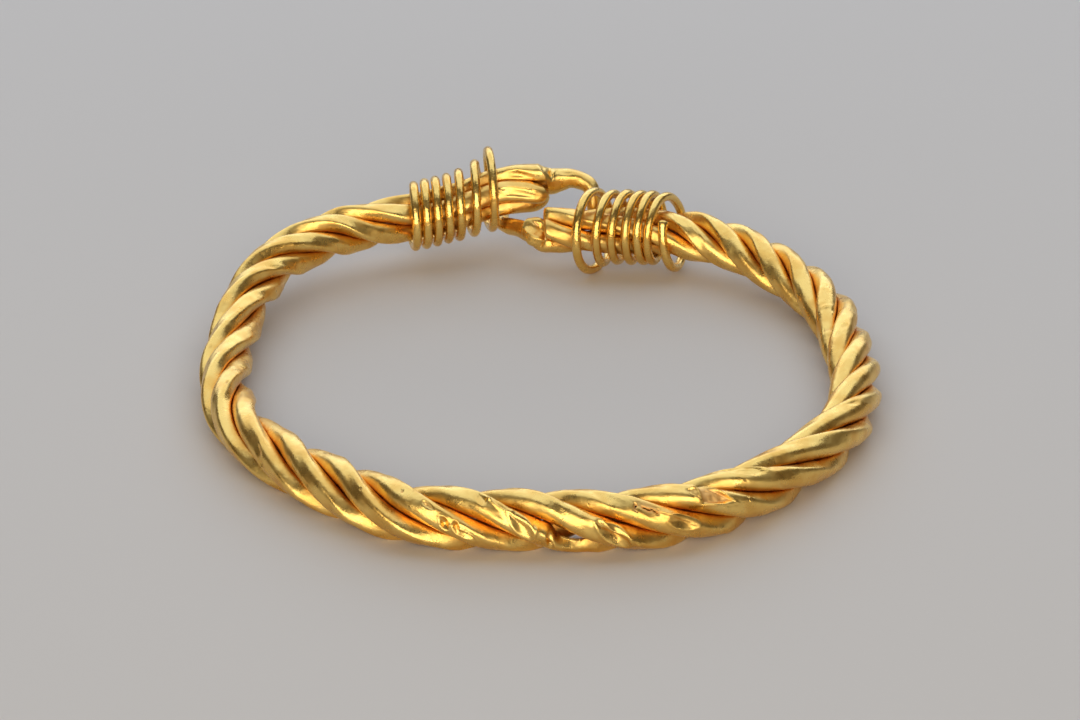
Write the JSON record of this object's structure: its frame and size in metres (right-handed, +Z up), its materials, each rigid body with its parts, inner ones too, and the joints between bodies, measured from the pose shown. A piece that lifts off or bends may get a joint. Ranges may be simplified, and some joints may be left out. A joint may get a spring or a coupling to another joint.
{
  "type": "twisted gold bracelet",
  "caption": "Rope-like gold bracelet: fat twisted strands bent into an oval hoop, closed by interlocking hooks, with a wire coil wound round each end.",
  "frame": {"origin": "on the surface the bracelet lies on, in the middle of its outline seen from above", "axes": "+X to the right and +Y from the front of the hoop to its clasp, with the hoop lying flat; +Z up"},
  "size_m": [0.0774, 0.0788, 0.0133],
  "materials": {
    "strand_gold": null,
    "wire_gold": null
  },
  "bodies": {
    "root": {"strand_plain_1": "strand_gold", "strand_left_hook": "strand_gold", "strand_right_hook": "strand_gold", "strand_plain_2": "strand_gold", "coil_left": "wire_gold", "coil_right": "wire_gold"}
  },
  "joints": []
}
